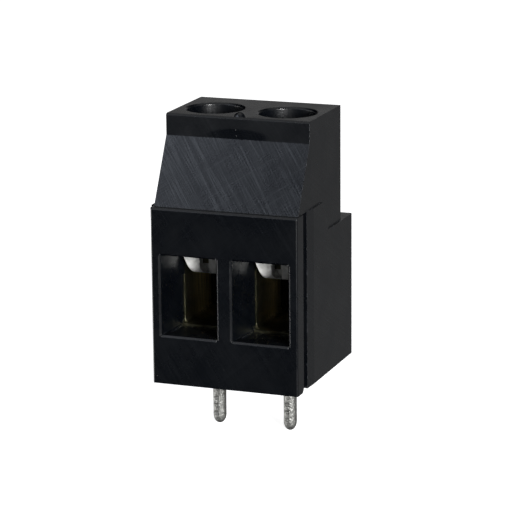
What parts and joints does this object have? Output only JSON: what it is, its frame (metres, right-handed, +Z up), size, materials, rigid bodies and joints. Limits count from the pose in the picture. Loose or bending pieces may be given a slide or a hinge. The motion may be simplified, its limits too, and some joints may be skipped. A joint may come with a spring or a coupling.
{
  "type": "pcb screw terminal",
  "caption": "Tall board-mounted screw terminal block: a sloped moulded housing with rising clamp cages, slotted screws, plated contacts and solder pins.",
  "frame": {"origin": "on the circuit board's face, midway between the two solder pins", "axes": "+X along the row of poles towards the grooved side, +Y to the back, away from the wire entries, +Z up from the board, along the screws"},
  "size_m": [0.0106, 0.0112, 0.022],
  "materials": {
    "black_nylon": "moulded, semi-gloss",
    "tinned_contact": "tin plated",
    "bare_brass": "drawn, bare",
    "zinc_screw": "zinc plated"
  },
  "bodies": {
    "block": {"housing": "black_nylon", "contact_left": "tinned_contact", "contact_right": "tinned_contact"},
    "clamp_left": {"cage_left": "bare_brass"},
    "clamp_right": {"cage_right": "bare_brass"},
    "driver_left": {"screw_left": "zinc_screw"},
    "driver_right": {"screw_right": "zinc_screw"}
  },
  "joints": [
    {"name": "cage_left_lift", "type": "slide", "parent": "block", "child": "clamp_left", "axis": [0, 0, 1], "range_m": [0, 0.00325]},
    {"name": "cage_right_lift", "type": "slide", "parent": "block", "child": "clamp_right", "axis": [0, 0, 1], "range_m": [0, 0.00325]},
    {"name": "screw_left_turn", "type": "hinge", "parent": "block", "child": "driver_left", "pos_m": [-0.00254, -0.00015, 0.013], "axis": [0, 0, -1], "range_deg": [0, 2340]},
    {"name": "screw_right_turn", "type": "hinge", "parent": "block", "child": "driver_right", "pos_m": [0.00254, -0.00015, 0.013], "axis": [0, 0, -1], "range_deg": [0, 2340]}
  ],
  "couplings": [
    {"joint": "screw_left_turn", "follows": "cage_left_lift", "rad_per_m": 12566},
    {"joint": "screw_right_turn", "follows": "cage_right_lift", "rad_per_m": 12566}
  ]
}
